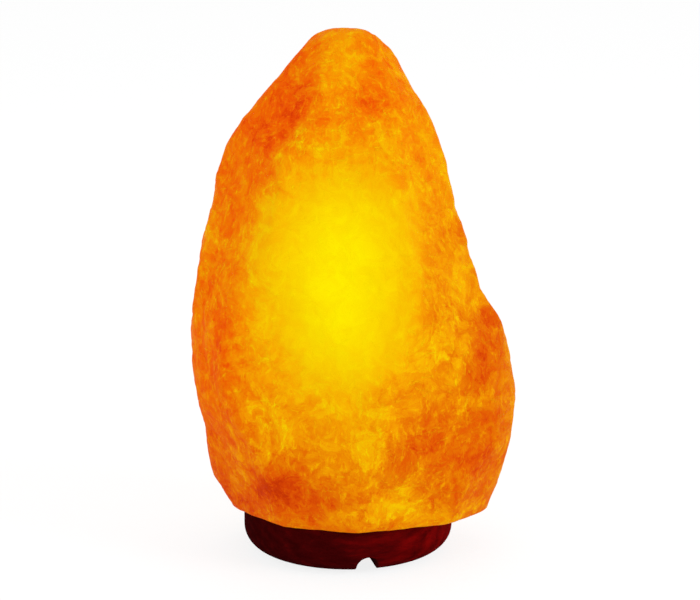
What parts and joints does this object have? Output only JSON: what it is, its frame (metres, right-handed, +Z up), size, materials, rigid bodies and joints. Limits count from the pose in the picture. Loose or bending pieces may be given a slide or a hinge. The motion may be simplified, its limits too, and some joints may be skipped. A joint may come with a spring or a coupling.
{
  "type": "salt crystal lamp",
  "caption": "Table lamp: a hewn rock salt crystal on a turned wooden base, lit from inside by a small bulb in a clip-in lampholder.",
  "frame": {"origin": "on the table, under the axis of the bore, which is the middle of the lamp's outline seen from above to about 1 mm", "axes": "+Z up along the bore; -Y is the side where the cord groove leaves the base; +X to the right of it"},
  "size_m": [0.1536, 0.14, 0.2485],
  "materials": {
    "salt": "hewn, waxy",
    "stained_wood": "stained, satin lacquer",
    "felt": "felt",
    "screw_steel": "zinc plated",
    "holder_plastic": "moulded",
    "steatite": "pressed",
    "shell_brass": "rolled",
    "contact_brass": "stamped",
    "spring_steel": "bright",
    "solder": "soldered",
    "black_glass": "glossy",
    "cap_metal": "nickel plated",
    "bulb_glass": "clear",
    "lead_metal": "drawn",
    "filament": "glowing"
  },
  "bodies": {
    "lamp": {"salt_crystal": "salt", "wood_base": "stained_wood", "base_screws": "screw_steel", "felt_pads": "felt"},
    "holder": {"holder_cap": "holder_plastic", "holder_skirt": "holder_plastic", "holder_core": "steatite", "screw_shell": "shell_brass", "centre_contact": "contact_brass", "shell_strap": "contact_brass", "terminals": "contact_brass", "terminal_screws": "screw_steel", "spring_clip": "spring_steel", "lock_nut": "spring_steel", "nipple": "spring_steel"},
    "bulb_contact": {"bulb_contact": "solder"},
    "bulb": {"bulb_cap": "cap_metal", "cap_insulator": "black_glass", "bulb_glass": "bulb_glass", "bulb_stem": "bulb_glass", "lead_wires": "lead_metal", "filament": "filament", "filament_supports": "lead_metal"}
  },
  "joints": [
    {"name": "holder_pull", "type": "slide", "parent": "lamp", "child": "holder", "axis": [0, 0, -1], "range_m": [0, 0.15]},
    {"name": "bulb_rise", "type": "slide", "parent": "holder", "child": "bulb_contact", "axis": [0, 0, 1], "range_m": [0, 0.01552]},
    {"name": "bulb_unscrew", "type": "hinge", "parent": "bulb_contact", "child": "bulb", "pos_m": [0, 0, 0.0608], "axis": [0, 0, 1], "range_deg": [0, 1980]}
  ],
  "couplings": [
    {"joint": "bulb_rise", "follows": "bulb_unscrew", "m_per_rad": 0.00044882}
  ]
}
